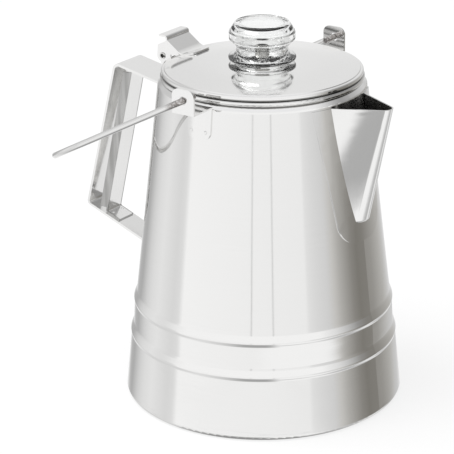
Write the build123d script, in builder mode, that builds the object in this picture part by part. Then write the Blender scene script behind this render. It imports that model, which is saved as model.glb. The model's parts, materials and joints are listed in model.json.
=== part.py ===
from build123d import *

import math
import os

# Stainless steel camp coffee percolator, made of separate pressed, bent and moulded pieces.
# Frame: millimetres, +Z up, origin at the centre of the base's underside. The spout points
# along +X, the handle and the lid's hinge are on -X, and the bail's ears are on +Y and -Y.

# ---- Driving dimensions: pot ---------------------------------------------------------------

wall = 0.8
shoulder_height = 184.0
shoulder_radius = 58.6
cone_foot_radius = 73.0
upper_bead_height = 60.6
lower_bead_height = 41.0
bead_drop = 4.4
bead_step = 1.4
bead_lip = 0.5
bead_return = 1.6
bead_crest_round = 2.0
band_flare = 0.8
base_flare = 3.7
base_corner_radius = 2.2
bead_fillet = 5.0
shoulder_fillet = 1.5
base_flange_width = 5.8
base_plate_sheet = 0.8
neck_inset = 2.8
neck_rise = 2.6
rim_roll_radius = 1.5
overcut = 1.0  # how far a cutter reaches past what it cuts

# ---- Driving dimensions: spout -------------------------------------------------------------

spout_sheet = 0.8
spout_top_drop = 1.4
spout_foot_drop = 69.0
spout_reach = 26.0
spout_side_angle = 27.0
spout_nose_radius = 5.0
spout_foot_reach = 3.2
spout_foot_side_angle = 42.0
spout_foot_nose_radius = 8.5
spout_foot_round = 2.0
spout_root_depth = 10.0
flange_sheet = 0.7
flange_half_width = 28.5
flange_foot_half_width = 18.8
flange_foot_drop = 80.0
flange_corner_radius = 15.0
strainer_hole_radius = 2.0
strainer_pitch = 6.5
strainer_rows = 6
strainer_drop = 50.0

# ---- Driving dimensions: handle ------------------------------------------------------------

strap_sheet = 1.5
strap_top_width = 22.0
strap_bottom_width = 16.0
strap_top_root_drop = 9.5
strap_top_reach = 37.0
strap_top_rise = 7.4
strap_bottom_root_height = 69.6
strap_bottom_reach = 51.1
strap_bottom_rise = 19.0
strap_top_bend = 4.0
strap_bottom_bend = 3.0
strap_foot_length = 14.0
strap_root_depth = 3.0
grip_sheet = 1.0
grip_width = 13.5
grip_flange_depth = 4.5
grip_top_inset = 8.6
grip_bottom_inset = 13.2
grip_foot_length = 10.0
grip_bend = 2.0
grip_flange_end_gap = 3.0
grip_weld_inset = 4.0
grip_weld_spacing = 8.4
weld_sphere_radius = 1.6
weld_depth = 0.35

# ---- Driving dimensions: ears and bail -----------------------------------------------------

ear_sheet = 1.0
ear_reach = 15.1
ear_width = 14.4
ear_tab_width = 15.0
ear_tab_length = 17.0
ear_tab_corner = 4.5
ear_shelf_rise = 1.5
ear_plate_rise = 13.0
ear_plate_corner = 4.2
ear_hole_rise = 6.7
ear_weld_spacing = 9.6
ear_weld_rise = 4.5
bail_wire_radius = 1.75
bail_clearance = 0.6
bail_leg_gap = 1.05
bail_hook_depth = 9.0
bail_hook_bend = 3.0
bail_corner_radius = 50.0
bail_rest_angle = 28.0
bail_rest_gap = 0.3
bail_end_round = 0.4

# ---- Driving dimensions: lid and its hinge -------------------------------------------------

lid_gap = 0.3
lid_inset = 0.7
lid_sheet = 0.8
lid_height = 3.0
lid_edge_width = 2.0
lid_edge_step = 0.5
lid_edge_round = 1.0
lid_step_run = 0.4
lid_step_round = 0.15
lid_lip_round = 0.05
lid_flat_inset = 14.1
lid_flat_drop = 1.4
crown_radius = 30.0
crown_rise = 3.0
crown_bend = 170.0
skirt_sheet = 0.7
skirt_gap = 0.85
skirt_depth = 8.8
skirt_flange_width = 8.0
skirt_bend = 0.9
collar_radius = 19.0
collar_sheet = 1.2
hinge_reach = 4.2
hinge_rise = 1.6
hinge_pin_radius = 1.8
hinge_pin_wall = 0.6
hinge_pin_slot = 0.8
hinge_pin_overhang = 0.6
hinge_clearance = 0.1
hinge_side_gap = 0.3
bracket_sheet = 1.0
bracket_foot_length = 8.0
bracket_lug_radius = 3.4
lever_width = 21.0
lever_sheet = 1.0
lever_tongue_length = 8.0
lever_tongue_corner = 6.5
lever_fold_inset = 7.8
lever_slope_run = 10.4
lever_slope_rise = 7.6
lever_lip_rise = 2.1
lever_lip_lean = 0.1
lever_lip_length = 4.8
lever_weld_inset = 3.0
lever_weld_spacing = 8.0
lever_fold_bend = 8.0
lever_lip_bend = 0.9
lever_ear_radius = 3.9
lever_heel_rise = 6.0

# ---- Driving dimensions: glass knob --------------------------------------------------------

spigot_radius = 12.6
spigot_gap = 0.6
knob_gap = 0.3
knob_seat_radius = 14.8
knob_seat_height = 1.2
knob_flange_radius = 18.9
knob_flange_top = 3.2
knob_flange_foot = 4.4
knob_neck_radius = 14.4
knob_neck_height = 9.0
knob_head_radius = 18.5
knob_head_foot = 13.0
knob_head_top = 17.0
knob_face_radius = 15.2
knob_height = 22.5
knob_bore_radius = 9.5
knob_glass_wall = 2.8
knob_edge_round = 0.5
knob_flange_round = 0.9
knob_root_round = 1.5
knob_throat_round = 2.0
knob_head_round = 1.2
lug_reach = 2.2
lug_height = 1.8
lug_angle = 50.0
lug_gap = 0.3
notch_margin_angle = 6.0

# ---- Driving dimensions: brewing gear ------------------------------------------------------

seat_gap = 0.3
tube_radius = 4.0
tube_wall = 0.6
tube_rise = 21.0
foot_radius = 31.0
foot_lip_radius = 28.0
foot_height = 10.0
foot_lip_height = 4.0
foot_neck_height = 7.0
foot_sheet = 0.7
foot_bend = 2.5
foot_notch_count = 6
foot_notch_width = 6.0
foot_notch_height = 2.6
tube_insertion = 6.0
stop_radius = 7.0
stop_height = 3.5
stop_chamfer = 0.8
basket_drop = 61.0
basket_mouth_gap = 7.3
basket_taper = 4.0
basket_height = 46.0
basket_rim_width = 2.0
basket_sheet = 0.6
basket_floor_bend = 4.0
small_bend = 0.8
sleeve_gap = 0.3
sleeve_wall = 0.6
sleeve_top_gap = 3.0
floor_hole_radius = 1.1
floor_hole_pitch = 6.0
spreader_sheet = 0.6
spreader_side_gap = 1.2
spreader_lip = 3.0
spreader_hole_radius = 1.3
spreader_hole_pitch = 8.0
spreader_collar_radius = 9.0
spreader_collar_gap = 1.0
spreader_collar_height = 1.6

# ---- Values worked out from them -----------------------------------------------------------

cone_slope = (cone_foot_radius - shoulder_radius) / (shoulder_height - upper_bead_height)
band_top_radius = cone_foot_radius + bead_step
band_foot_radius = band_top_radius + band_flare
lower_wall_radius = band_foot_radius + bead_step
base_radius = lower_wall_radius + base_flare
base_plate_radius = base_radius - base_flange_width
neck_radius = shoulder_radius - neck_inset
rim_centre_z = shoulder_height + neck_rise + rim_roll_radius
rim_top_z = rim_centre_z + rim_roll_radius
rim_outer_radius = neck_radius + rim_roll_radius
mouth_radius = neck_radius - rim_roll_radius
deep_inside = neck_radius - spout_root_depth

spout_top_z = shoulder_height - spout_top_drop
spout_foot_z = shoulder_height - spout_foot_drop
flange_foot_z = shoulder_height - flange_foot_drop

lid_bottom_z = rim_top_z + lid_gap
lid_top_z = lid_bottom_z + lid_height
lid_under_z = lid_top_z - lid_sheet
lid_radius = rim_outer_radius - lid_inset
lid_slope = crown_rise / (lid_radius - lid_edge_width - crown_radius)
lid_flat_distance = lid_radius - lid_flat_inset
skirt_radius = mouth_radius - skirt_gap
skirt_bottom_z = lid_under_z - skirt_depth
lid_hole_radius = spigot_radius + spigot_gap
notch_radius = lid_hole_radius + lug_reach
hinge_x = -(rim_outer_radius + hinge_reach)
hinge_z = lid_bottom_z + hinge_rise
lever_inner_half = lever_width / 2 - lever_sheet
lug_outer_half = lever_inner_half - hinge_side_gap
hinge_pin_half = lever_width / 2 + hinge_pin_overhang

ear_offset = shoulder_radius + ear_reach
ear_shelf_z = shoulder_height + ear_shelf_rise
bail_pivot_z = ear_shelf_z + ear_hole_rise
bail_leg_offset = ear_offset + ear_sheet + bail_leg_gap + bail_wire_radius

foot_base_z = base_plate_sheet + seat_gap
foot_neck_z = foot_base_z + foot_height
basket_floor_z = shoulder_height - basket_drop
basket_radius = mouth_radius - basket_mouth_gap
basket_floor_radius = basket_radius - basket_taper
basket_top_z = basket_floor_z + basket_height
sleeve_inner = tube_radius + sleeve_gap
sleeve_outer = sleeve_inner + sleeve_wall
spreader_z = basket_top_z + basket_sheet + seat_gap
spreader_radius = basket_radius + basket_rim_width + spreader_side_gap
tube_top_z = shoulder_height + tube_rise


# ---- Shared shapes -------------------------------------------------------------------------


def cone_radius(z):
    """Outer radius of the pot's long cone at height z."""
    return shoulder_radius + cone_slope * (shoulder_height - z)


def turned(points, radii=None):
    """A solid turned about Z from an outline of (radius, height) points that starts and ends on Z."""
    with BuildPart() as solid:
        with BuildSketch(Plane.XZ):
            with BuildLine():
                outline = FilletPolyline(*points, radius=radii) if radii else Polyline(*points)
                Line(outline @ 1, outline @ 0)
            make_face()
        revolve(axis=Axis.Z)
    return solid.part


def turned_sheet(points, radii, sheet, side):
    """A sheet turned about Z, laid to one side of a line of (radius, height) points."""
    with BuildPart() as skin:
        with BuildSketch(Plane.XZ):
            with BuildLine():
                FilletPolyline(*points, radius=radii)
                offset(amount=sheet, side=side)
            make_face()
        revolve(axis=Axis.Z)
    return skin.part


def ring(inner, outer, z, height):
    """A plain ring standing on the height z."""
    with BuildPart() as body:
        with BuildSketch(Plane.XY.offset(z)):
            Circle(outer)
            Circle(inner, mode=Mode.SUBTRACT)
        extrude(amount=height)
    return body.part


def sectors(inner, outer, angle, directions, z, height):
    """Pieces of a ring, each spanning an angle and centred on a direction, in degrees."""
    with BuildPart() as pieces:
        for direction in directions:
            with BuildSketch(Plane.XY.offset(z)):
                with BuildLine():
                    far = CenterArc((0, 0), outer, direction - angle / 2, angle)
                    near = CenterArc((0, 0), inner, direction - angle / 2, angle)
                    Line(far @ 0, near @ 0)
                    Line(far @ 1, near @ 1)
                make_face()
            extrude(amount=height)
    return pieces.part


def bent_strip(points, radii, sheet, width, side):
    """A strip bent in the XZ plane, its sheet laid to one side of the points."""
    with BuildPart() as strip:
        with BuildSketch(Plane.XZ):
            with BuildLine():
                FilletPolyline(*points, radius=radii)
                offset(amount=sheet, side=side)
            make_face()
        extrude(amount=width / 2, both=True)
    return strip.part


def wall_pad(z_low, z_high, width, sheet):
    """A tab that hugs the pot's cone on the handle side, between two heights."""
    low = cone_radius(z_low)
    high = cone_radius(z_high)
    with BuildPart() as pad:
        with BuildSketch(Plane.XZ):
            with BuildLine():
                Polyline((low, z_low), (low + sheet, z_low), (high + sheet, z_high), (high, z_high), close=True)
            make_face()
        revolve(axis=Axis.Z)
        with Locations((-low, 0, (z_low + z_high) / 2)):
            Box(low, width, z_high - z_low, mode=Mode.INTERSECT)
    return pad.part


def point_on(start, end, x):
    """The point at x on the line through two (x, z) points."""
    share = (x - start[0]) / (end[0] - start[0])
    return (x, start[1] + share * (end[1] - start[1]))


def beside(start, end, distance):
    """The line through two (x, z) points, moved to its left by a distance."""
    run = (end[0] - start[0], end[1] - start[1])
    length = math.hypot(*run)
    shift = (-run[1] / length * distance, run[0] / length * distance)
    return (start[0] + shift[0], start[1] + shift[1]), (end[0] + shift[0], end[1] + shift[1])


def weld_dimples(centres, normal):
    """Shallow round marks left by spot welding, cut at the centres against the normal."""
    lift = weld_sphere_radius - weld_depth
    with BuildPart() as marks:
        for centre in centres:
            with Locations(Vector(*centre) + Vector(*normal).normalized() * lift):
                Sphere(weld_sphere_radius)
    return marks.part


def save(piece, name):
    """Labels a finished piece and writes it as one STEP file."""
    piece.label = name
    export_step(piece, f"parts/{name}.step")


os.makedirs("parts", exist_ok=True)

# ---- Pot -----------------------------------------------------------------------------------

body_line = [
    (base_radius, 0),
    (lower_wall_radius, lower_bead_height - bead_drop - bead_return),
    (lower_wall_radius + bead_lip, lower_bead_height - bead_drop),
    (band_foot_radius, lower_bead_height),
    (band_top_radius, upper_bead_height - bead_drop - bead_return),
    (band_top_radius + bead_lip, upper_bead_height - bead_drop),
    (cone_foot_radius, upper_bead_height),
    (shoulder_radius, shoulder_height),
    (neck_radius, shoulder_height + neck_rise),
]
bead_bends = [bead_crest_round, bead_crest_round, bead_fillet]
body_bends = [base_corner_radius, *bead_bends, *bead_bends, shoulder_fillet, small_bend]

# The pot's outside as a filled solid, which trims what is welded on to it.
pot_solid = turned([(0, 0), *body_line, (neck_radius, rim_top_z), (0, rim_top_z)], [*body_bends, small_bend])

with BuildPart() as pot_wall:
    add(
        turned_sheet(
            [(base_plate_radius, 0), *body_line, (neck_radius, rim_centre_z)], body_bends, wall, Side.LEFT
        )
    )
    with BuildSketch(Plane.XZ):
        with Locations((neck_radius, rim_centre_z)):
            Circle(rim_roll_radius)
    revolve(axis=Axis.Z)
    # Holes behind the spout hold back stray grounds while pouring.
    with BuildSketch(Plane.YZ):
        for row in range(strainer_rows):
            with Locations((0, shoulder_height - strainer_drop + row * strainer_pitch)):
                with GridLocations(strainer_pitch, strainer_pitch, 1 + row // 2, 1):
                    Circle(strainer_hole_radius)
    extrude(amount=base_radius, mode=Mode.SUBTRACT)
save(pot_wall.part, "pot_wall")

with BuildPart() as base_plate:
    with BuildSketch():
        Circle(base_plate_radius)
    extrude(amount=base_plate_sheet)
save(base_plate.part, "base_plate")

# ---- Spout ---------------------------------------------------------------------------------


def spout_section(z, inset):
    """The spout's V with its round nose at height z, filled back into the pot."""
    share = (z - spout_foot_z) / (spout_top_z - spout_foot_z)
    reach = spout_foot_reach + share * (spout_reach - spout_foot_reach)
    angle = math.radians(spout_foot_side_angle + share * (spout_side_angle - spout_foot_side_angle))
    nose_radius = spout_foot_nose_radius + share * (spout_nose_radius - spout_foot_nose_radius)
    nose_x = cone_radius(z) + reach - nose_radius
    radius = nose_radius - inset
    side = (nose_x + radius * math.sin(angle), radius * math.cos(angle))
    back = (deep_inside, side[1] + (side[0] - deep_inside) * math.tan(angle))
    with BuildSketch(Plane.XY.offset(z)) as section:
        with BuildLine():
            Line(back, side)
            ThreePointArc(side, (nose_x + radius, 0), (side[0], -side[1]))
            Polyline((side[0], -side[1]), (back[0], -back[1]), back)
        make_face()
    return section.sketch


def spout_filled(inset):
    """The spout as a filled body with a rounded underside, its walls set in by inset."""
    with BuildPart() as filled:
        add(spout_section(spout_foot_z + inset, inset))
        add(spout_section(spout_top_z + inset, inset))
        loft()
        fillet(filled.faces().sort_by(Axis.Z)[0].edges(), spout_foot_round - inset)
    return filled.part


spout_outside = spout_filled(0)
spout_inside = spout_filled(spout_sheet)

with BuildPart() as spout_trough:
    add(spout_outside)
    add(spout_inside, mode=Mode.SUBTRACT)
    add(pot_solid, mode=Mode.SUBTRACT)

with BuildPart() as spout_flange:
    with BuildSketch(Plane.YZ.offset(deep_inside)):
        with BuildLine():
            FilletPolyline(
                (-flange_half_width, spout_top_z),
                (-flange_foot_half_width, flange_foot_z),
                (flange_foot_half_width, flange_foot_z),
                (flange_half_width, spout_top_z),
                radius=flange_corner_radius,
            )
            Line((flange_half_width, spout_top_z), (-flange_half_width, spout_top_z))
        make_face()
    extrude(amount=base_radius - deep_inside)
    add(
        turned(
            [
                (0, 0),
                (cone_radius(0) + flange_sheet, 0),
                (cone_radius(spout_top_z) + flange_sheet, spout_top_z),
                (0, spout_top_z),
            ]
        ),
        mode=Mode.INTERSECT,
    )
    add(pot_solid, mode=Mode.SUBTRACT)
    add(spout_inside, mode=Mode.SUBTRACT)

with BuildPart() as spout:
    add(spout_trough.part)
    add(spout_flange.part)
save(spout.part, "spout")

# ---- Handle --------------------------------------------------------------------------------

strap_top_root_z = shoulder_height - strap_top_root_drop
strap_top_root = (-cone_radius(strap_top_root_z), strap_top_root_z)
strap_top_corner = (strap_top_root[0] - strap_top_reach, strap_top_root_z + strap_top_rise)
strap_bottom_root = (-cone_radius(strap_bottom_root_height), strap_bottom_root_height)
strap_bottom_corner = (strap_bottom_root[0] - strap_bottom_reach, strap_bottom_root_height + strap_bottom_rise)

with BuildPart() as handle_strap:
    add(
        bent_strip(
            [
                point_on(strap_top_corner, strap_top_root, strap_top_root[0] + strap_root_depth),
                strap_top_corner,
                strap_bottom_corner,
                point_on(strap_bottom_corner, strap_bottom_root, strap_bottom_root[0] + strap_root_depth),
            ],
            [strap_top_bend, strap_bottom_bend],
            strap_sheet,
            strap_top_width,
            Side.LEFT,
        )
    )
    # The strap narrows from its top corner down to its bottom corner.
    with BuildSketch(Plane.YZ.offset(strap_bottom_corner[0] - overcut)):
        with BuildLine():
            half_top = strap_top_width / 2
            half_bottom = strap_bottom_width / 2
            Polyline(
                (-half_bottom, 0),
                (-half_bottom, strap_bottom_corner[1]),
                (-half_top, strap_top_corner[1] - strap_top_bend),
                (-half_top, strap_top_corner[1] + overcut),
                (half_top, strap_top_corner[1] + overcut),
                (half_top, strap_top_corner[1] - strap_top_bend),
                (half_bottom, strap_bottom_corner[1]),
                (half_bottom, 0),
                close=True,
            )
        make_face()
    extrude(amount=-strap_bottom_corner[0], mode=Mode.INTERSECT)
    add(pot_solid, mode=Mode.SUBTRACT)
    add(wall_pad(strap_top_root_z - strap_foot_length, strap_top_root_z, strap_top_width, strap_sheet))
    add(
        wall_pad(
            strap_bottom_root_height,
            strap_bottom_root_height + strap_foot_length,
            strap_bottom_width,
            strap_sheet,
        )
    )
save(handle_strap.part, "handle_strap")

top_inner_face = beside(strap_top_root, strap_top_corner, strap_sheet)
bottom_inner_face = beside(strap_bottom_corner, strap_bottom_root, strap_sheet)
grip_top_x = strap_top_corner[0] + grip_top_inset
grip_bottom_x = strap_bottom_corner[0] + grip_bottom_inset
grip_top = point_on(*top_inner_face, grip_top_x)
grip_bottom = point_on(*bottom_inner_face, grip_bottom_x)
grip_bottom_foot = point_on(*bottom_inner_face, grip_bottom_x + grip_foot_length)

with BuildPart() as handle_grip:
    add(
        bent_strip(
            [point_on(*top_inner_face, grip_top_x + grip_foot_length), grip_top, grip_bottom, grip_bottom_foot],
            [grip_bend, grip_bend],
            grip_sheet,
            grip_width,
            Side.LEFT,
        )
    )
    # The channel's side flanges turn from the web towards the strap.
    web_top = grip_top[1] - grip_flange_end_gap
    web_bottom = grip_bottom[1] + grip_flange_end_gap
    web_face = beside(grip_top, grip_bottom, grip_sheet / 2)
    flange_face = beside(grip_top, grip_bottom, -grip_flange_depth)
    lean = (grip_bottom[0] - grip_top[0]) / (grip_bottom[1] - grip_top[1])
    with BuildSketch(Plane.XZ):
        with BuildLine():
            Polyline(
                (web_face[0][0] + lean * (web_top - web_face[0][1]), web_top),
                (web_face[1][0] + lean * (web_bottom - web_face[1][1]), web_bottom),
                (flange_face[1][0] + lean * (web_bottom - flange_face[1][1]), web_bottom),
                (flange_face[0][0] + lean * (web_top - flange_face[0][1]), web_top),
                close=True,
            )
        make_face()
    extrude(amount=grip_width / 2, both=True)
    with BuildSketch(Plane.XZ):
        with BuildLine():
            Polyline(grip_top, grip_bottom, *beside(grip_bottom, grip_top, 2 * grip_flange_depth), close=True)
        make_face()
    extrude(amount=grip_width / 2 - grip_sheet, both=True, mode=Mode.SUBTRACT)
    weld_normal = (-(bottom_inner_face[1][1] - bottom_inner_face[0][1]), 0, strap_bottom_reach)
    weld_face = beside(strap_bottom_corner, strap_bottom_root, strap_sheet + grip_sheet)
    weld_point = point_on(*weld_face, grip_bottom_x + grip_weld_inset)
    weld_places = [(weld_point[0], side * grip_weld_spacing / 2, weld_point[1]) for side in (-1, 1)]
    add(weld_dimples(weld_places, weld_normal), mode=Mode.SUBTRACT)
save(handle_grip.part, "handle_grip")

# ---- Ears and bail -------------------------------------------------------------------------


def bail_ear(side):
    """A Z-shaped bracket at side 1 or -1: a tab on the wall, a shelf outwards and a drilled plate."""
    tab_bottom_z = shoulder_height - ear_tab_length
    low = cone_radius(tab_bottom_z)
    high = cone_radius(ear_shelf_z)
    weld_x = ear_weld_spacing / 2
    weld_z = tab_bottom_z + ear_weld_rise
    weld_y = side * math.sqrt((cone_radius(weld_z) + ear_sheet) ** 2 - weld_x**2)
    with BuildPart() as ear:
        with BuildSketch(Plane.XZ):
            with BuildLine():
                Polyline(
                    (low, tab_bottom_z),
                    (low + ear_sheet, tab_bottom_z),
                    (high + ear_sheet, ear_shelf_z),
                    (high, ear_shelf_z),
                    close=True,
                )
            make_face()
        revolve(axis=Axis.Z)
        with BuildSketch(Plane.XZ):
            with Locations((0, ear_shelf_z)):
                Rectangle(ear_tab_width, ear_shelf_z - tab_bottom_z, align=(Align.CENTER, Align.MAX))
            fillet(vertices().group_by(Axis.Y)[0], ear_tab_corner)
        extrude(amount=-side * ear_offset, mode=Mode.INTERSECT)
        with BuildSketch(Plane.XY.offset(ear_shelf_z)):
            shelf_end = ear_offset + ear_sheet
            with Locations((0, side * (shoulder_radius + shelf_end) / 2)):
                Rectangle(ear_width, shelf_end - shoulder_radius)
        extrude(amount=-ear_sheet)
        with BuildSketch(Plane.XZ.offset(-side * ear_offset)):
            with Locations((0, ear_shelf_z - ear_sheet)):
                Rectangle(ear_width, ear_plate_rise + ear_sheet, align=(Align.CENTER, Align.MIN))
            fillet(vertices().group_by(Axis.Y)[-1], ear_plate_corner)
            with Locations((0, bail_pivot_z)):
                Circle(bail_wire_radius + bail_clearance, mode=Mode.SUBTRACT)
        extrude(amount=-side * ear_sheet)
        add(
            weld_dimples([(-weld_x, weld_y, weld_z), (weld_x, weld_y, weld_z)], (0, side, cone_slope)),
            mode=Mode.SUBTRACT,
        )
    return ear.part


save(bail_ear(-1), "bail_ear_right")
save(bail_ear(1), "bail_ear_left")


def bail_reach():
    """How far the crosspiece is from the pivot, so that it rests on the strap's outer face."""
    tilt = math.radians(bail_rest_angle)
    run_x = strap_bottom_corner[0] - strap_top_corner[0]
    run_z = strap_bottom_corner[1] - strap_top_corner[1]
    length = math.hypot(run_x, run_z)
    outward = (run_z / length, -run_x / length)
    clear = bail_wire_radius + bail_rest_gap
    offset_x = strap_top_corner[0] + outward[0] * clear
    offset_z = strap_top_corner[1] - bail_pivot_z + outward[1] * clear
    return (offset_x * outward[0] + offset_z * outward[1]) / (
        -math.cos(tilt) * outward[0] - math.sin(tilt) * outward[1]
    )


with BuildPart() as bail:
    rest_tilt = math.radians(bail_rest_angle)
    reach_direction = Vector(-math.cos(rest_tilt), 0, -math.sin(rest_tilt))
    bail_plane = Plane(
        origin=(0, 0, bail_pivot_z), x_dir=(0, 1, 0), z_dir=Vector(0, 1, 0).cross(reach_direction)
    )
    reach = bail_reach()
    hook_end = ear_offset - bail_hook_depth
    with BuildLine(bail_plane) as bail_path:
        FilletPolyline(
            (-hook_end, 0),
            (-bail_leg_offset, 0),
            (-bail_leg_offset, reach),
            (bail_leg_offset, reach),
            (bail_leg_offset, 0),
            (hook_end, 0),
            radius=[bail_hook_bend, bail_corner_radius, bail_corner_radius, bail_hook_bend],
        )
    bail_wire = bail_path.wires()[0]
    with BuildSketch(Plane(bail_wire @ 0, z_dir=bail_wire % 0)):
        Circle(bail_wire_radius)
    sweep(path=bail_wire)
    fillet(bail.faces().filter_by(GeomType.PLANE).edges(), bail_end_round)
save(bail.part, "bail")

# ---- Hinge ---------------------------------------------------------------------------------

bracket_top_z = shoulder_height - small_bend
bracket_bottom_z = bracket_top_z - bracket_foot_length
lug_middle = lug_outer_half - bracket_sheet / 2

with BuildPart() as hinge_bracket:
    for side in (-1, 1):
        with BuildSketch(Plane.XZ.offset(side * lug_middle)):
            with BuildLine():
                CenterArc((hinge_x, hinge_z), bracket_lug_radius, 0, 360)
                Polyline(
                    (-cone_radius(bracket_top_z), bracket_top_z),
                    (-cone_radius(bracket_bottom_z), bracket_bottom_z),
                    (-cone_radius(bracket_bottom_z) - bracket_sheet, bracket_bottom_z),
                )
            make_hull()
            with Locations((hinge_x, hinge_z)):
                Circle(hinge_pin_radius, mode=Mode.SUBTRACT)
        extrude(amount=bracket_sheet / 2, both=True)
    add(pot_solid, mode=Mode.SUBTRACT)
    add(wall_pad(bracket_bottom_z, bracket_top_z, 2 * lug_outer_half, bracket_sheet))
save(hinge_bracket.part, "hinge_bracket")

# A rolled pin: its ends show a ring with a slit.
with BuildPart() as hinge_pin:
    with BuildSketch(Plane.XZ):
        with Locations((hinge_x, hinge_z)):
            Circle(hinge_pin_radius)
            Circle(hinge_pin_radius - hinge_pin_wall, mode=Mode.SUBTRACT)
            Rectangle(2 * hinge_pin_radius, hinge_pin_slot, align=(Align.MIN, Align.CENTER), mode=Mode.SUBTRACT)
    extrude(amount=hinge_pin_half, both=True)
save(hinge_pin.part, "hinge_pin")

# ---- Lid -----------------------------------------------------------------------------------


def lid_face_z(radius, inset):
    """Height of the lid's sloping face at a radius, or of its underside, set in by the sheet."""
    return lid_top_z - inset + lid_slope * (lid_radius - inset - lid_edge_width - radius)


def crown_z(inset):
    """Height of the flat middle of the lid, or of its underside."""
    return lid_face_z(crown_radius, inset)


flat_start = (-lid_flat_distance, lid_face_z(lid_flat_distance, 0))
flat_end = (-lid_radius, lid_top_z - lid_flat_drop)
collar_bottom_z = crown_z(lid_sheet) - collar_sheet


def lid_flat(inset):
    """What the flat over the hinge cuts from the lid, as a wedge above a sloping plane."""
    with BuildPart() as wedge:
        with BuildSketch(Plane.XZ):
            with BuildLine():
                Polyline(
                    (flat_start[0], flat_start[1] - inset),
                    (flat_end[0], flat_end[1] - inset),
                    (flat_end[0] - overcut, flat_end[1] - inset),
                    (flat_end[0] - overcut, crown_z(0)),
                    (flat_start[0], crown_z(0)),
                    close=True,
                )
            make_face()
        extrude(amount=lid_radius, both=True)
    return wedge.part


def lid_filled(inset):
    """The lid's outside as a filled cap, its faces set in by inset."""
    edge = lid_radius - inset
    step = edge - lid_edge_width
    with BuildPart() as cap:
        add(
            turned(
                [
                    (0, lid_bottom_z - inset),
                    (edge, lid_bottom_z - inset),
                    (edge, lid_top_z - lid_edge_step - inset),
                    (step + lid_step_run, lid_top_z - lid_edge_step - inset),
                    (step, lid_top_z - inset),
                    (crown_radius, crown_z(inset)),
                    (0, crown_z(inset)),
                ],
                [lid_lip_round, lid_edge_round - inset, lid_step_round, lid_step_round, crown_bend],
            )
        )
        add(lid_flat(inset), mode=Mode.SUBTRACT)
    return cap.part


def knob_opening(z_low, z_high):
    """The round hole with two notches that lets the knob's lugs pass."""
    notch_angle = lug_angle + 2 * notch_margin_angle
    with BuildPart() as opening:
        with BuildSketch(Plane.XY.offset(z_low)):
            Circle(lid_hole_radius)
        extrude(amount=z_high - z_low)
        add(sectors(spigot_radius, notch_radius, notch_angle, (90, 270), z_low, z_high - z_low))
    return opening.part


with BuildPart() as lid_cover:
    add(lid_filled(0))
    add(lid_filled(lid_sheet), mode=Mode.SUBTRACT)
    add(knob_opening(collar_bottom_z, crown_z(0) + overcut), mode=Mode.SUBTRACT)
save(lid_cover.part, "lid_cover")

skirt_edge = skirt_radius - skirt_flange_width

with BuildPart() as lid_skirt:
    add(
        turned_sheet(
            [
                (skirt_edge, lid_face_z(skirt_edge, lid_sheet)),
                (skirt_radius, lid_face_z(skirt_radius, lid_sheet)),
                (skirt_radius, skirt_bottom_z),
            ],
            [skirt_bend],
            skirt_sheet,
            Side.RIGHT,
        )
    )
    add(lid_flat(lid_sheet), mode=Mode.SUBTRACT)
save(lid_skirt.part, "lid_skirt")

with BuildPart() as knob_collar:
    with BuildSketch(Plane.XY.offset(collar_bottom_z)):
        Circle(collar_radius)
    extrude(amount=collar_sheet)
    add(knob_opening(collar_bottom_z, crown_z(lid_sheet)), mode=Mode.SUBTRACT)
save(knob_collar.part, "knob_collar")

# Lever: a tongue welded to the lid, two side ears on the pin and a lip for the thumb.
lever_fold_x = lever_fold_inset - lid_radius
lever_tip = point_on(flat_start, flat_end, lever_fold_x + lever_tongue_length)
lever_fold = point_on(flat_start, flat_end, lever_fold_x)
lever_top = (lever_fold_x - lever_slope_run, lid_top_z + lever_slope_rise)
lip_z = lever_top[1] + lever_lip_rise

with BuildPart() as lid_lever:
    add(
        bent_strip(
            [
                lever_tip,
                lever_fold,
                lever_top,
                (lever_top[0] - lever_lip_lean, lip_z),
                (lever_top[0] - lever_lip_length, lip_z),
            ],
            [lever_fold_bend, lever_lip_bend, lever_lip_bend],
            lever_sheet,
            lever_width,
            Side.RIGHT,
        )
    )
    tip_face = lid_lever.faces().sort_by(Axis.X)[-1]
    fillet(tip_face.edges().sort_by(SortBy.LENGTH)[:2], lever_tongue_corner)
    for side in (-1, 1):
        with BuildSketch(Plane.XZ.offset(side * (lever_width - lever_sheet) / 2)):
            with BuildLine():
                CenterArc((hinge_x, hinge_z), lever_ear_radius, 0, 360)
                Polyline(
                    (lever_fold_x - lever_sheet, lid_top_z + lever_sheet),
                    lever_top,
                    (hinge_x - lever_ear_radius + lever_sheet / 2, hinge_z + lever_heel_rise),
                )
            make_hull()
            with Locations((hinge_x, hinge_z)):
                Circle(hinge_pin_radius + hinge_clearance, mode=Mode.SUBTRACT)
        extrude(amount=lever_sheet / 2, both=True)
    with Locations((0, 0, lid_top_z)):
        Cylinder(
            lid_radius + lid_gap,
            lid_height + lid_gap,
            align=(Align.CENTER, Align.CENTER, Align.MAX),
            mode=Mode.SUBTRACT,
        )
    add(lid_filled(0), mode=Mode.SUBTRACT)
    weld_point = point_on(*beside(lever_fold, lever_tip, lever_sheet), lever_tip[0] - lever_weld_inset)
    weld_places = [(weld_point[0], side * lever_weld_spacing / 2, weld_point[1]) for side in (-1, 1)]
    weld_normal = (lever_fold[1] - lever_tip[1], 0, lever_tip[0] - lever_fold[0])
    add(weld_dimples(weld_places, weld_normal), mode=Mode.SUBTRACT)
save(lid_lever.part, "lid_lever")

# ---- Glass knob ----------------------------------------------------------------------------

knob_base_z = crown_z(0) + knob_gap
lug_top_z = collar_bottom_z - lug_gap
lug_bottom_z = lug_top_z - lug_height

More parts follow.
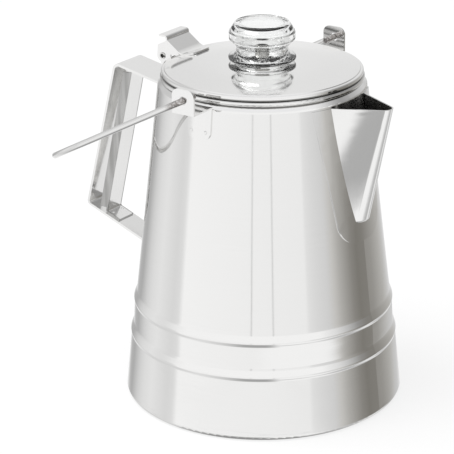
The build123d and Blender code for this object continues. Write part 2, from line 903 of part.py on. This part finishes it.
with BuildPart() as glass_knob:
    add(
        turned(
            [
                (0, lug_bottom_z),
                (spigot_radius, lug_bottom_z),
                (spigot_radius, knob_base_z),
                (knob_seat_radius, knob_base_z),
                (knob_seat_radius, knob_base_z + knob_seat_height),
                (knob_flange_radius, knob_base_z + knob_seat_height),
                (knob_flange_radius, knob_base_z + knob_flange_top),
                (knob_neck_radius, knob_base_z + knob_flange_foot),
                (knob_neck_radius, knob_base_z + knob_neck_height),
                (knob_head_radius, knob_base_z + knob_head_foot),
                (knob_head_radius, knob_base_z + knob_head_top),
                (knob_face_radius, knob_base_z + knob_height),
                (0, knob_base_z + knob_height),
            ],
            [
                *[knob_edge_round] * 4,
                *[knob_flange_round] * 2,
                knob_root_round,
                knob_throat_round,
                knob_head_round,
                knob_head_round,
                knob_root_round,
            ],
        )
    )
    add(
        turned(
            [
                (0, lug_bottom_z - overcut),
                (knob_bore_radius, lug_bottom_z - overcut),
                (knob_bore_radius, knob_base_z + knob_seat_height),
                (knob_neck_radius - knob_glass_wall, knob_base_z + knob_flange_foot),
                (knob_neck_radius - knob_glass_wall, knob_base_z + knob_neck_height),
                (knob_head_radius - knob_glass_wall, knob_base_z + knob_head_foot),
                (knob_head_radius - knob_glass_wall, knob_base_z + knob_head_top),
                (knob_face_radius - knob_glass_wall, knob_base_z + knob_height - knob_glass_wall),
                (0, knob_base_z + knob_height - knob_glass_wall),
            ],
            [knob_edge_round, *[knob_root_round] * 6],
        ),
        mode=Mode.SUBTRACT,
    )
    # Two lugs pass the notches and hook under the collar when the knob is turned.
    lug_inner = (spigot_radius + knob_bore_radius) / 2
    add(sectors(lug_inner, notch_radius - lug_gap, lug_angle, (0, 180), lug_bottom_z, lug_height))
save(glass_knob.part, "glass_knob")

# ---- Brewing gear --------------------------------------------------------------------------

with BuildPart() as riser_foot:
    add(
        turned_sheet(
            [
                (tube_radius, foot_neck_z + foot_neck_height),
                (tube_radius, foot_neck_z),
                (foot_lip_radius, foot_base_z + foot_lip_height),
                (foot_radius, foot_base_z),
            ],
            [foot_bend, foot_bend],
            foot_sheet,
            Side.LEFT,
        )
    )
    with Locations((0, 0, foot_base_z)):
        with PolarLocations(foot_radius, foot_notch_count):
            Box(foot_notch_width, foot_notch_width, 2 * foot_notch_height, mode=Mode.SUBTRACT)
save(riser_foot.part, "riser_foot")

tube_bottom_z = foot_neck_z + foot_neck_height - tube_insertion + foot_bend
save(ring(tube_radius - tube_wall, tube_radius, tube_bottom_z, tube_top_z - tube_bottom_z), "riser_tube")

with BuildPart() as basket_stop:
    add(ring(tube_radius, stop_radius, basket_floor_z - seat_gap - stop_height, stop_height))
    chamfer(basket_stop.edges().group_by(Axis.Z)[0].sort_by(SortBy.RADIUS)[-1], stop_chamfer)
save(basket_stop.part, "basket_stop")


def perforations(z, sheet, hole_radius, pitch, first_radius, last_radius):
    """Rings of small holes around the centre, as cutters through a sheet lying on height z."""
    with BuildPart() as cutters:
        with BuildSketch(Plane.XY.offset(z - overcut)):
            for ring_number in range(int((last_radius - first_radius) / pitch) + 1):
                ring_radius = first_radius + ring_number * pitch
                with PolarLocations(ring_radius, int(2 * math.pi * ring_radius / pitch)):
                    Circle(hole_radius)
        extrude(amount=sheet + 2 * overcut)
    return cutters.part


with BuildPart() as basket_cup:
    add(
        turned_sheet(
            [
                (sleeve_outer, basket_floor_z),
                (basket_floor_radius, basket_floor_z),
                (basket_radius, basket_top_z),
                (basket_radius + basket_rim_width, basket_top_z),
            ],
            [basket_floor_bend, small_bend],
            basket_sheet,
            Side.LEFT,
        )
    )
    add(
        perforations(
            basket_floor_z,
            basket_sheet,
            floor_hole_radius,
            floor_hole_pitch,
            sleeve_outer + floor_hole_pitch,
            basket_floor_radius - basket_floor_bend - 2 * floor_hole_radius,
        ),
        mode=Mode.SUBTRACT,
    )
save(basket_cup.part, "basket_cup")

sleeve_height = basket_height - sleeve_top_gap
save(ring(sleeve_inner, sleeve_outer, basket_floor_z, sleeve_height), "basket_sleeve")

with BuildPart() as spreader:
    add(
        turned_sheet(
            [
                (spreader_collar_radius, spreader_z),
                (spreader_radius, spreader_z),
                (spreader_radius, spreader_z - spreader_lip),
            ],
            [small_bend],
            spreader_sheet,
            Side.LEFT,
        )
    )
    add(
        perforations(
            spreader_z,
            spreader_sheet,
            spreader_hole_radius,
            spreader_hole_pitch,
            spreader_collar_radius + spreader_hole_pitch,
            spreader_radius - spreader_hole_pitch,
        ),
        mode=Mode.SUBTRACT,
    )
save(spreader.part, "spreader")

spreader_hole_edge = tube_radius + spreader_collar_gap
save(
    ring(spreader_hole_edge, spreader_collar_radius, spreader_z, spreader_collar_height),
    "spreader_collar",
)
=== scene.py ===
# %% [markdown]
# # A camp coffee percolator
#
# The pot is pressed and spun from stainless steel sheet, then polished until it mirrors the room.
# Its shapes come exactly from the CAD frame, so this lesson is about the two things that make
# polished steel and clear glass look real: what they reflect, and how evenly they do it.

# %% Load the frame
import json
import math

import bpy
from mathutils import Matrix, Vector


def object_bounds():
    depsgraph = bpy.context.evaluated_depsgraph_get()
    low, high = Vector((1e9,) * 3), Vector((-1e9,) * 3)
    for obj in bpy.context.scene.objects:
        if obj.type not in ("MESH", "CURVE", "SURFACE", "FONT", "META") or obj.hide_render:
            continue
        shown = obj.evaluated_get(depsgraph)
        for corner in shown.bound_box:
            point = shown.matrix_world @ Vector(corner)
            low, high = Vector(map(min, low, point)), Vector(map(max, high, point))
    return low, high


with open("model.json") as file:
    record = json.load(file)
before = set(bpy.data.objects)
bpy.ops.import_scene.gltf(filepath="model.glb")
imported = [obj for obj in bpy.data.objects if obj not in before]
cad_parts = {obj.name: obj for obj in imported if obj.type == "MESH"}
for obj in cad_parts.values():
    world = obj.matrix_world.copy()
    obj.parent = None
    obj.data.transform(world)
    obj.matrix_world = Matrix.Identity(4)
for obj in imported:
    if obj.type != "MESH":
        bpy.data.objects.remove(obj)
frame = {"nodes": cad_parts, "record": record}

cad_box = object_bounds()
nodes = frame["nodes"]
size = cad_box[1] - cad_box[0]
print("percolator:", len(nodes), "nodes,", [round(side * 1000, 1) for side in size], "mm")

# %% [markdown]
# ## The camera
#
# A long lens from about a metre and a quarter away keeps the sides of the pot nearly parallel.
# The camera stands in front and to the right, and looks down by about twenty degrees. A small
# lens shift sets the pot a little off the middle of the frame.

# %% Place the camera
camera_place = Vector((0.6561, -0.9526, 0.5405))
camera_turn = 0.6032
camera_pitch = 0.366
camera_roll = -0.0045
camera_lens = 171.3
camera_shift = (-0.079, -0.0015)

right = Vector((math.cos(camera_turn), math.sin(camera_turn), 0))
forward = Vector(
    (
        -math.sin(camera_turn) * math.cos(camera_pitch),
        math.cos(camera_turn) * math.cos(camera_pitch),
        -math.sin(camera_pitch),
    )
)
above = right.cross(forward)
rolled_right = right * math.cos(camera_roll) + above * math.sin(camera_roll)
rolled_above = above * math.cos(camera_roll) - right * math.sin(camera_roll)

camera_data = bpy.data.cameras.new("camera")
camera_data.lens = camera_lens
camera_data.sensor_width = 36
camera_data.shift_x, camera_data.shift_y = camera_shift
camera = bpy.data.objects.new("camera", camera_data)
bpy.context.scene.collection.objects.link(camera)
columns = Matrix((rolled_right, rolled_above, -forward)).transposed()
camera.matrix_world = Matrix.Translation(camera_place) @ columns.to_4x4()
bpy.context.scene.camera = camera
bpy.context.scene.view_settings.view_transform = "Standard"
print("camera is", round(camera_place.length, 3), "m from the pot's foot")

# %% [markdown]
# ## Sums written as sums
#
# A finish is a small calculation done at every point of a surface. Wrapping a socket in a class
# lets that calculation be written the way it is on paper, and the class adds the Math nodes.

# %% A socket that takes part in sums
class Reading:
    """A number or a direction that changes over a surface, as the output of a node."""

    def __init__(self, bench, socket):
        self.bench = bench
        self.socket = socket

    def sum(self, operation, other=0.0, swapped=False):
        first, second = (other, self) if swapped else (self, other)
        return self.bench.node("ShaderNodeMath", {"operation": operation}, {0: first, 1: second})

    def __add__(self, other):
        return self.sum("ADD", other)

    def __radd__(self, other):
        return self.sum("ADD", other)

    def __sub__(self, other):
        return self.sum("SUBTRACT", other)

    def __rsub__(self, other):
        return self.sum("SUBTRACT", other, swapped=True)

    def __mul__(self, other):
        return self.sum("MULTIPLY", other)

    def __rmul__(self, other):
        return self.sum("MULTIPLY", other)

    def __truediv__(self, other):
        return self.sum("DIVIDE", other)

    def __abs__(self):
        return self.sum("ABSOLUTE")

    def rise(self, start, end):
        """0 below start, 1 above end, and a smooth slope between them."""
        limits = {0: self, 1: start, 2: end, 3: 0.0, 4: 1.0}
        return self.bench.node("ShaderNodeMapRange", {"interpolation_type": "SMOOTHSTEP"}, limits)


class Bench:
    """A node tree that is being laid out. One call adds one node and hands back its result."""

    def __init__(self, tree):
        self.tree = tree
        tree.nodes.clear()

    def node(self, kind, settings=None, sockets=None, result=0):
        made = self.tree.nodes.new(kind)
        for name, value in (settings or {}).items():
            if name == "stops":
                self.set_stops(made.color_ramp, value)
            else:
                setattr(made, name, value)
        for name, value in (sockets or {}).items():
            if isinstance(value, Reading):
                self.tree.links.new(value.socket, made.inputs[name])
            else:
                made.inputs[name].default_value = value
        return Reading(self, made.outputs[result]) if made.outputs else made

    def set_stops(self, ramp, stops):
        """Gives a ramp its (place, grey) stops."""
        while len(ramp.elements) > 1:
            ramp.elements.remove(ramp.elements[-1])
        for index, (place, grey) in enumerate(stops):
            stop = ramp.elements[0] if index == 0 else ramp.elements.new(place)
            stop.position = place
            stop.color = (*grey, 1) if isinstance(grey, tuple) else (grey, grey, grey, 1)

    def parts(self, vector):
        """The three numbers of a direction or a place."""
        split = self.node("ShaderNodeSeparateXYZ", sockets={0: vector})
        return [Reading(self, output) for output in split.socket.node.outputs]

    def blend(self, share, first, second):
        """One colour turning into another as share goes from 0 to 1."""
        settings = {"data_type": "RGBA"}
        return self.node("ShaderNodeMix", settings, {0: share, 6: first, 7: second}, result=2)


print("shader sums ready")

# %% [markdown]
# ## What the steel reflects
#
# A mirror has no colour of its own. A photographer lights polished steel by standing white and
# grey boards round it, and the pot shows them as upright bands. Here the boards are painted on
# the world: by how far round the pot they stand, seen from the camera's side, and by height.
# The pot's wall leans back, so it mirrors things a little below its own height. Parts that lean
# forwards, such as the spout, mirror the table in front of the pot instead. Each list below goes
# once round the pot: the boards, the near table under them, and the wall above them.

# %% Paint the studio
def degrees_round(bench, direction):
    """How far round from the camera's side a direction points, from -180 to 180 degrees."""
    x, y, _ = bench.parts(direction)
    side_x, side_y = math.cos(camera_turn), math.sin(camera_turn)
    to_right = x * side_x + y * side_y
    to_front = x * side_y - y * side_x
    return to_right.sum("ARCTAN2", to_front) * math.degrees(1)


def degrees_up(bench, direction):
    """How far a direction points above the horizon, in degrees."""
    return bench.parts(direction)[2].sum("ARCSINE") * math.degrees(1)


def round_ramp(bench, angle, stops):
    """Greys by the angle round the pot, from (degrees, grey) stops."""
    places = [((degrees + 180) / 360, grey) for degrees, grey in stops]
    return bench.node("ShaderNodeValToRGB", {"stops": places}, {0: (angle + 180.0) / 360.0})


def plain_grey(grey):
    """An even grey as a colour."""
    return (grey, grey, grey, 1)


def warm(grey, amount=0.02):
    """A grey turned slightly warm, as a board looks beside a blue-white wall."""
    return (grey + amount / 2, grey, grey - amount)


boards = [
    (-180, 0.92), (-168, 0.70), (-158, 0.48), (-146, 0.45), (-138, 0.57), (-130, 0.70),
    (-120, 0.80), (-108, 0.86), (-96, 0.80), (-88, 0.76), (-81, 0.80), (-76, 1.0),
    (-12, 0.96), (9, 0.95), (38, 0.93), (41, 0.83), (48, 0.77), (60, 0.70), (67, warm(0.60)),
    (74, warm(0.46)), (81, warm(0.36)), (89, warm(0.26)), (97, warm(0.21)), (106, warm(0.23)),
    (115, warm(0.30)), (126, warm(0.38)), (140, warm(0.48)), (160, 0.66), (180, 0.92),
]
table_front = [
    (-180, 0.95), (-150, 0.80), (-120, 0.72), (-95, 0.74), (-69, 0.88), (-40, 0.74),
    (-20, 0.46), (3, 0.47), (9, 0.62), (16, 1.0), (34, 1.0), (58, 0.98), (68, 0.80), (80, 0.62),
    (96, 0.50), (104, 0.56), (112, 0.86), (124, 0.86), (132, 0.52), (150, 0.76), (180, 0.95),
]
ceiling_ring = [
    (-180, 0.86), (-150, 0.62), (-120, 0.66), (-100, 0.82), (-70, 1.0), (50, 1.0),
    (66, 0.80), (90, 0.34), (120, 0.36), (150, 0.70), (180, 0.86),
]


line_centre = -1.0
line_half_gap = 9.4
line_strength = 0.28
under_table_grey = 0.30
beside_grey = 0.6
glass_lightening = 0.55


def paint_studio():
    """The world: grey boards between a white table and a pale ceiling.

    The camera sees plain white, and rays that come through glass see the boards lightened.
    """
    world = bpy.data.worlds.new("studio")
    bpy.context.scene.world = world
    world.use_nodes = True
    bench = Bench(world.node_tree)
    direction = bench.node("ShaderNodeTexCoord")
    around = degrees_round(bench, direction)
    height = degrees_up(bench, direction)
    walls = round_ramp(bench, around, boards)
    near_table = round_ramp(bench, around, table_front)
    high_walls = round_ramp(bench, around, ceiling_ring)
    white = (1, 1, 1, 1)
    ceiling = (0.93, 0.93, 0.94, 1)

    # Two thin gaps between the front boards, which spread where the boards meet the table.
    spread = (-10.5 - height).sum("MAXIMUM", 0.0)
    gap = abs(abs(around - line_centre) - line_half_gap - spread * spread * 2.2)
    lines = (1.0 - gap.rise(0.3, 0.9)) * height.rise(-19.5, -18.0)
    walls = bench.blend(lines * line_strength, walls, (0, 0, 0, 1))

    # The boards reach further down behind the handle than beside the spout.
    board_foot = around.rise(-60.0, 20.0) * 10.0 - 26.0 - around.rise(42.0, 90.0) * 5.5
    under_boards = (height - board_foot).rise(-1.2, 1.2)
    beside_boards = bench.blend(around.rise(80.0, 105.0), white, plain_grey(beside_grey))
    shade = bench.blend(under_boards, beside_boards, walls)
    shade = bench.blend(height.rise(-24.5, -22.0), near_table, shade)
    shade = bench.blend(height.rise(-75.0, -45.0), plain_grey(under_table_grey), shade)
    shade = bench.blend(height.rise(4.0, 14.0), shade, high_walls)
    shade = bench.blend(height.rise(38.0, 60.0), shade, ceiling)

    lit = bench.node("ShaderNodeBackground", sockets={"Color": shade, "Strength": 1.0})
    plain = bench.node("ShaderNodeBackground", sockets={"Color": white, "Strength": 1.0})
    seen = bench.node("ShaderNodeLightPath")
    through = bench.node("ShaderNodeLightPath", result="Is Transmission Ray")
    whiteness = seen + through * glass_lightening
    both = bench.node("ShaderNodeMixShader", sockets={0: whiteness, 1: lit, 2: plain})
    bench.node("ShaderNodeOutputWorld", sockets={"Surface": both})


paint_studio()
print("studio greys:", len(boards), "for the boards,", len(table_front), "for the table,",
      len(ceiling_ring), "for the wall above")

# %% [markdown]
# ## The floor and the soft light
#
# A pale floor carries only a faint trace of the pot's shadow, as on a lit white table, so part
# of its brightness is its own. It is left out of mirror images, because the painted table
# already stands in for it there. One wide lamp high on the left gives the shadow a direction.

# %% Lay the floor and hang the lamp
floor_reach = 4.0
floor_drop = 0.0002
lamp_place = Vector((-0.9, -0.7, 2.2))
lamp_width = 1.6
lamp_power = 26.0
floor_glow_share = 0.72


def lay_floor():
    """A wide pale floor with a very slight mottle, just under the pot."""
    signs = [(-1, -1), (1, -1), (1, 1), (-1, 1)]
    corners = [(x * floor_reach, y * floor_reach, -floor_drop) for x, y in signs]
    mesh = bpy.data.meshes.new("floor")
    mesh.from_pydata(corners, [], [(0, 1, 2, 3)])
    floor = bpy.data.objects.new("floor", mesh)
    bpy.context.scene.collection.objects.link(floor)
    paint = bpy.data.materials.new("floor_paint")
    paint.use_nodes = True
    bench = Bench(paint.node_tree)
    place = bench.node("ShaderNodeTexCoord", result=3)
    mottle = bench.node("ShaderNodeTexNoise", sockets={"Vector": place, "Scale": 9.0})
    colour = bench.blend(mottle, (0.93, 0.93, 0.93, 1), (0.96, 0.96, 0.96, 1))
    matt = bench.node("ShaderNodeBsdfDiffuse", sockets={"Color": colour})
    glow = bench.node("ShaderNodeEmission", sockets={"Color": (1, 1, 1, 1), "Strength": 1.0})
    shader = bench.node("ShaderNodeMixShader", sockets={0: floor_glow_share, 1: matt, 2: glow})
    bench.node("ShaderNodeOutputMaterial", sockets={"Surface": shader})
    mesh.materials.append(paint)
    floor.visible_glossy = False


def hang_lamp():
    """One wide soft lamp that the steel doesn't mirror."""
    data = bpy.data.lights.new("lamp", "AREA")
    data.size = lamp_width
    data.energy = lamp_power
    lamp = bpy.data.objects.new("lamp", data)
    bpy.context.scene.collection.objects.link(lamp)
    lamp.location = lamp_place
    lamp.rotation_mode = "QUATERNION"
    lamp.rotation_quaternion = (-lamp_place).to_track_quat("-Z", "Y")
    lamp.visible_glossy = False


lay_floor()
hang_lamp()
print("floor is", 2 * floor_reach, "m wide, lamp hangs at", lamp_place.z, "m")

# %% [markdown]
# ## Polished steel
#
# Even a mirror finish keeps traces of how it was made. Fine lines run the way the sheet was
# spun, rolled or drawn, and faint hazy patches are left by polishing and by fingers. Both are
# far too shallow to see as shapes, so they go into the roughness and a very weak bump. Each
# piece gets its own run of the lines: round the pot, along a strip, along a wire. A few places,
# such as the groove under the rim and the inside of the spout, are tinted dark outright, as a
# stand-in for the dark things that they would mirror.

# %% Lines, haze and the steel itself
steel_tint = (0.895, 0.892, 0.885)


def lines_along(bench, stretch, detail=3.0):
    """Fine lines: a noise squeezed across the way they run. Stretch is per metre along X, Y and Z."""
    place = bench.node("ShaderNodeTexCoord", result=3)
    squeezed = bench.node("ShaderNodeVectorMath", {"operation": "MULTIPLY"}, {0: place, 1: stretch})
    return bench.node("ShaderNodeTexNoise", sockets={"Vector": squeezed, "Scale": 1.0, "Detail": detail})


def haze(bench, scale=28.0):
    """Soft cloudy patches a few centimetres across."""
    place = bench.node("ShaderNodeTexCoord", result=3)
    cloud = bench.node("ShaderNodeTexNoise", sockets={"Vector": place, "Scale": scale, "Detail": 4.0})
    return cloud.rise(0.35, 0.75)


def steel(slot, roughness, stretch, line_depth=0.05, haze_depth=0.03, tint=steel_tint, extra=None):
    """A steel finish. Extra, given the bench, returns how much rougher and darker a place is and the tint
    it turns, for scratches, rubbing and painted shade.
    """
    material = bpy.data.materials.new(slot)
    material.use_nodes = True
    bench = Bench(material.node_tree)
    lines = lines_along(bench, stretch)
    clouds = haze(bench)
    rough = lines * line_depth + clouds * haze_depth + (roughness - line_depth / 2)
    dark = tuple(part * 0.965 for part in tint)
    colour = bench.blend(lines, (*dark, 1), (*tint, 1))
    if extra:
        # Scratches, rubbing and painted shade from extra make a place rougher and blend it towards their
        # tint.
        wear_and_shade, wear_and_shade_tint = extra(bench)
        rough = rough + wear_and_shade * 0.2
        colour = bench.blend(wear_and_shade, colour, (*wear_and_shade_tint, 1))
    relief = bench.node(
        "ShaderNodeBump", sockets={"Strength": 0.06, "Distance": 0.00004, "Height": lines}
    )
    shader = bench.node(
        "ShaderNodeBsdfPrincipled",
        sockets={"Base Color": colour, "Metallic": 1.0, "Roughness": rough, "Normal": relief},
    )
    bench.node("ShaderNodeOutputMaterial", sockets={"Surface": shader})
    return material


def inward(bench):
    """1 where a surface faces the pot's axis, as on the inside of a wall."""
    where = bench.node("ShaderNodeTexCoord", result=3)
    facing = bench.node("ShaderNodeNewGeometry", result=1)
    x, y, _ = bench.parts(where)
    across, along, _ = bench.parts(facing)
    return (across * x + along * y).rise(0.004, -0.004)


def band(height, low, high, soft):
    """1 between two heights, fading over a soft edge on each side."""
    return height.rise(low - soft, low + soft) * height.rise(high + soft, high - soft)


def pot_wear_and_shade(bench):
    """Painted shade: a little darker and duller inside, a dark band in the groove under the rolled rim,
    and darker above the rim. Also faint scuffs low down.
    """
    where = bench.node("ShaderNodeTexCoord", result=3)
    z = bench.parts(where)[2]
    scuffs = lines_along(bench, (60, 60, 700)).rise(0.55, 0.7) * z.rise(0.007, 0.003) * 0.08
    # Painted shade in the groove under the rolled rim.
    groove = band(z, 0.1862, 0.1872, 0.0005) * 0.8
    # Painted shade on the shell above the rim.
    above_rim = z.rise(0.1888, 0.1894) * 0.7
    # Painted shade on the inside of the wall, joined with the real scuffs low down.
    scuffs_and_shade = (inward(bench) * 0.14).sum("MAXIMUM", scuffs)
    return scuffs_and_shade.sum("MAXIMUM", groove).sum("MAXIMUM", above_rim), (0.20, 0.197, 0.19)


def spout_painted_shade(bench):
    """Painted shade on the inside of the spout, tinted dark as if in deep shade, with a few lighter
    streaks.
    """
    where = bench.node("ShaderNodeTexCoord", result=3)
    z = bench.parts(where)[2]
    streaks = lines_along(bench, (60, 260, 6)).rise(0.42, 0.62)
    # Painted shade inside the spout, a little lighter along the streaks.
    inside = inward(bench) * (0.95 - streaks * 0.35) * z.rise(0.100, 0.125)
    return inside, (0.13, 0.128, 0.12)


def lid_painted_shade(bench):
    """Painted shade on the lid's lower lip, tinted dark where it nearly meets the rim."""
    where = bench.node("ShaderNodeTexCoord", result=3)
    z = bench.parts(where)[2]
    # Painted shade along the lid's lower lip.
    return z.rise(0.1909, 0.1903) * 0.9, (0.14, 0.138, 0.13)


def wire_wear(bench):
    """A duller band at each end of the wire, where it turns in its ear."""
    where = bench.node("ShaderNodeTexCoord", result=3)
    x, _, _ = bench.parts(where)
    rubbed = abs(x).rise(0.010, 0.003) * lines_along(bench, (900, 900, 900)).rise(0.2, 0.6)
    return rubbed * 0.8, (0.20, 0.17, 0.155)


def grip_painted_reflection(bench):
    """Painted reflection on the two bent edges of the grip, tinted darker as a stand-in for what they
    mirror.
    """
    where = bench.node("ShaderNodeTexCoord", result=3)
    _, y, _ = bench.parts(where)
    reflection_streaks = lines_along(bench, (300, 40, 24)).rise(0.2, 0.8)
    # Painted reflection: the bent edges darker, with faint streaks along them.
    return abs(y).rise(0.0056, 0.0064) * (reflection_streaks * 0.3 + 0.45), (0.16, 0.158, 0.15)


def lip_wear(bench):
    """Fine scratches from thumbs on the raised lip."""
    where = bench.node("ShaderNodeTexCoord", result=3)
    z = bench.parts(where)[2]
    scratches = lines_along(bench, (2600, 300, 300)).rise(0.6, 0.75)
    return scratches * z.rise(0.198, 0.203) * 0.4, (0.8, 0.8, 0.79)


turned_lines = (18, 18, 2600)
finishes = {
    "pot_shell": steel("pot_shell", 0.055, turned_lines, 0.02, 0.035, extra=pot_wear_and_shade),
    "base_steel": steel("base_steel", 0.28, (300, 300, 20), 0.1, 0.08),
    "spout_steel": steel("spout_steel", 0.06, (900, 900, 30), 0.02, 0.03, extra=spout_painted_shade),
    "strap_steel": steel("strap_steel", 0.11, (120, 1800, 25), 0.06, 0.05),
    "grip_steel": steel(
        "grip_steel", 0.16, (120, 1800, 25), 0.05, 0.05, tint=(0.95, 0.947, 0.94), extra=grip_painted_reflection
    ),
    "ear_steel": steel("ear_steel", 0.09, (1500, 60, 60), 0.05, 0.05),
    "hinge_steel": steel("hinge_steel", 0.14, (60, 1500, 200), 0.06, 0.05),
    "pin_steel": steel("pin_steel", 0.22, (2400, 60, 2400), 0.1, 0.06, tint=(0.72, 0.715, 0.70)),
    "lid_steel": steel("lid_steel", 0.07, (500, 500, 500), 0.02, 0.03, extra=lid_painted_shade),
    # The inner steel's darker tint is painted shade on the hidden inner surfaces.
    "inner_steel": steel("inner_steel", 0.26, (40, 40, 1600), 0.1, 0.08, tint=(0.80, 0.795, 0.785)),
    "lever_steel": steel("lever_steel", 0.09, (300, 1600, 300), 0.05, 0.05, extra=lip_wear),
    "wire_steel": steel("wire_steel", 0.13, (90, 90, 90), 0.08, 0.05, extra=wire_wear),
    "tube_steel": steel("tube_steel", 0.18, (2200, 2200, 30), 0.08, 0.06, tint=(0.42, 0.415, 0.40)),
    "basket_steel": steel("basket_steel", 0.24, (60, 60, 1500), 0.08, 0.08, tint=(0.82, 0.815, 0.80)),
}
print(len(finishes), "steels mixed")

# %% [markdown]
# ## Clear glass
#
# The knob is pressed in a mould and fire-polished. Clear glass shows itself only through its
# edges, which bend the dark boards into thin lines, so the shader is plain glass with the faint
# ripple that a mould leaves.

# %% Glass
def knob_glass():
    """Clear pressed glass with a slight ripple."""
    material = bpy.data.materials.new("knob_glass")
    material.use_nodes = True
    bench = Bench(material.node_tree)
    place = bench.node("ShaderNodeTexCoord", result=3)
    ripple = bench.node("ShaderNodeTexNoise", sockets={"Vector": place, "Scale": 160.0, "Detail": 2.0})
    relief = bench.node("ShaderNodeBump", sockets={"Strength": 0.25, "Distance": 0.0002, "Height": ripple})
    rough = ripple * 0.02
    shader = bench.node(
        "ShaderNodeBsdfPrincipled",
        sockets={
            "Base Color": (0.985, 0.99, 0.988, 1), "Roughness": rough, "IOR": 1.5,
            "Transmission Weight": 1.0, "Normal": relief,
        },
    )
    bench.node("ShaderNodeOutputMaterial", sockets={"Surface": shader})
    return material


finishes["knob_glass"] = knob_glass()

# %% [markdown]
# ## Dressing the pieces
#
# The record names a slot for every piece, and each slot has one finish. The CAD meshes stay as
# they are and only change their material.

# %% Put each finish on its pieces
for subpart in frame["record"]["subparts"]:
    piece = nodes[subpart["node"]]
    piece.data.materials.clear()
    piece.data.materials.append(finishes[subpart["material_slot"]])
print("finishes on", len(nodes), "pieces")
